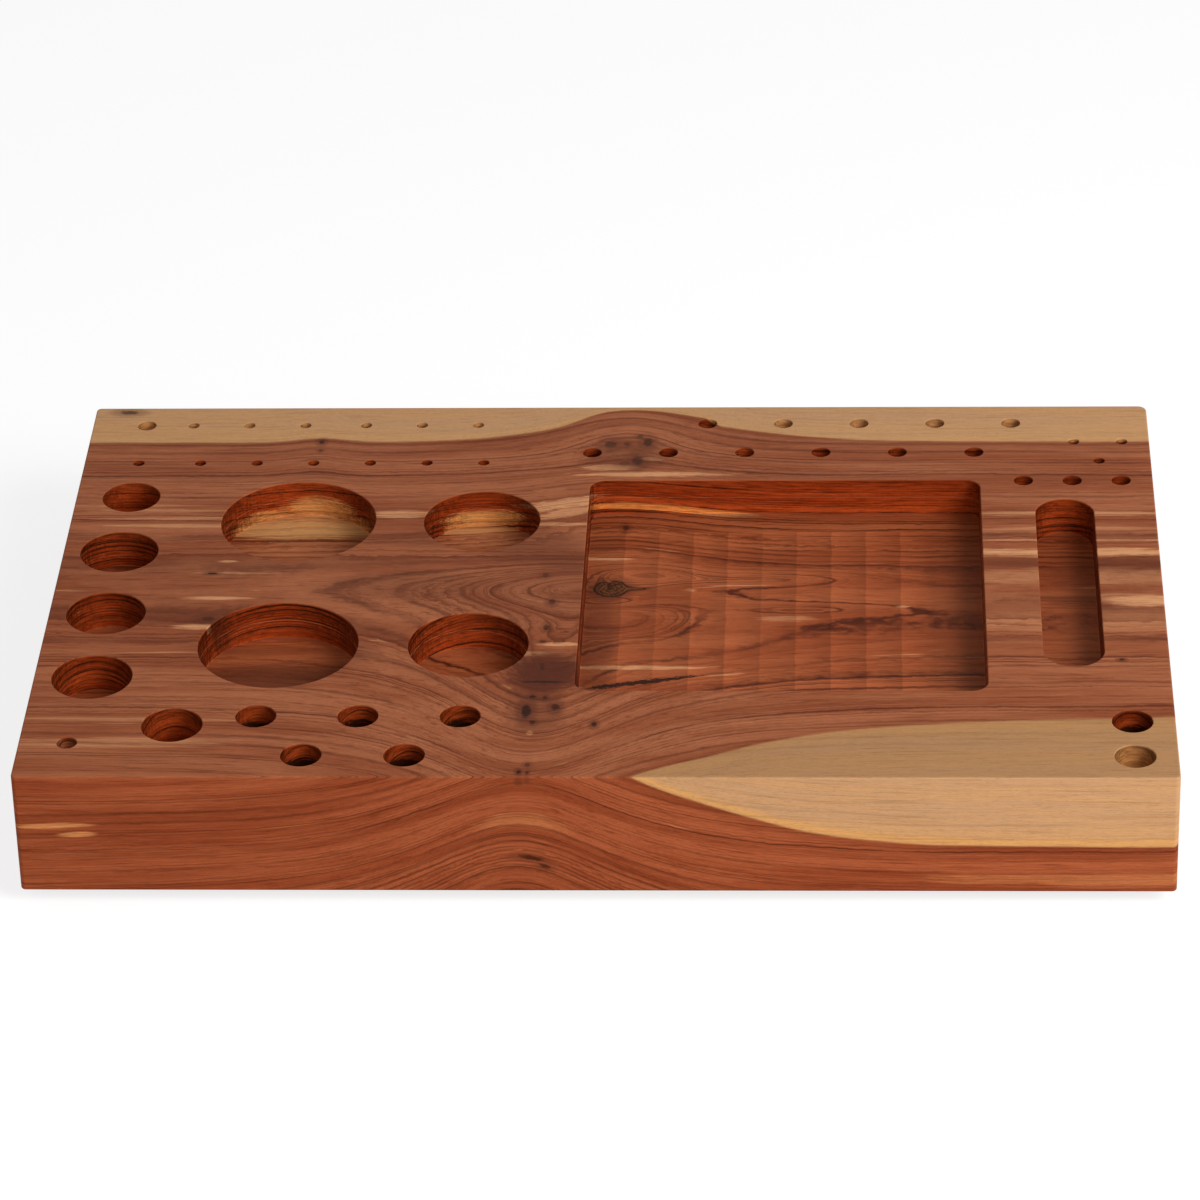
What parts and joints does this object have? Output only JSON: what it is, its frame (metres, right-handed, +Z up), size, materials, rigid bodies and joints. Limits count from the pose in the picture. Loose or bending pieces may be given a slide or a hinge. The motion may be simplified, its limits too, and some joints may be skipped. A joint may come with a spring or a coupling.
{
  "type": "fly tying station",
  "caption": "Thick red cedar board with a square routed tray, a long slot, round cups and rows of drilled holes that hold fly tying tools, vials and spools, on rubber feet.",
  "frame": {"origin": "on the bench, under the middle of the board", "axes": "+X along the long side, towards the tray and slot end; +Y to the back, where the needle and tool rows are; +Z up"},
  "size_m": [0.4444, 0.2858, 0.0588],
  "materials": {
    "cedar": "satin oiled red cedar",
    "rubber": "matt black rubber",
    "steel": "zinc plated steel"
  },
  "bodies": {
    "root": {"board": "cedar", "foot_front_left": "rubber", "washer_front_left": "steel", "screw_front_left": "steel", "foot_front_right": "rubber", "washer_front_right": "steel", "screw_front_right": "steel", "foot_back_left": "rubber", "washer_back_left": "steel", "screw_back_left": "steel", "foot_back_right": "rubber", "washer_back_right": "steel", "screw_back_right": "steel"}
  },
  "joints": []
}
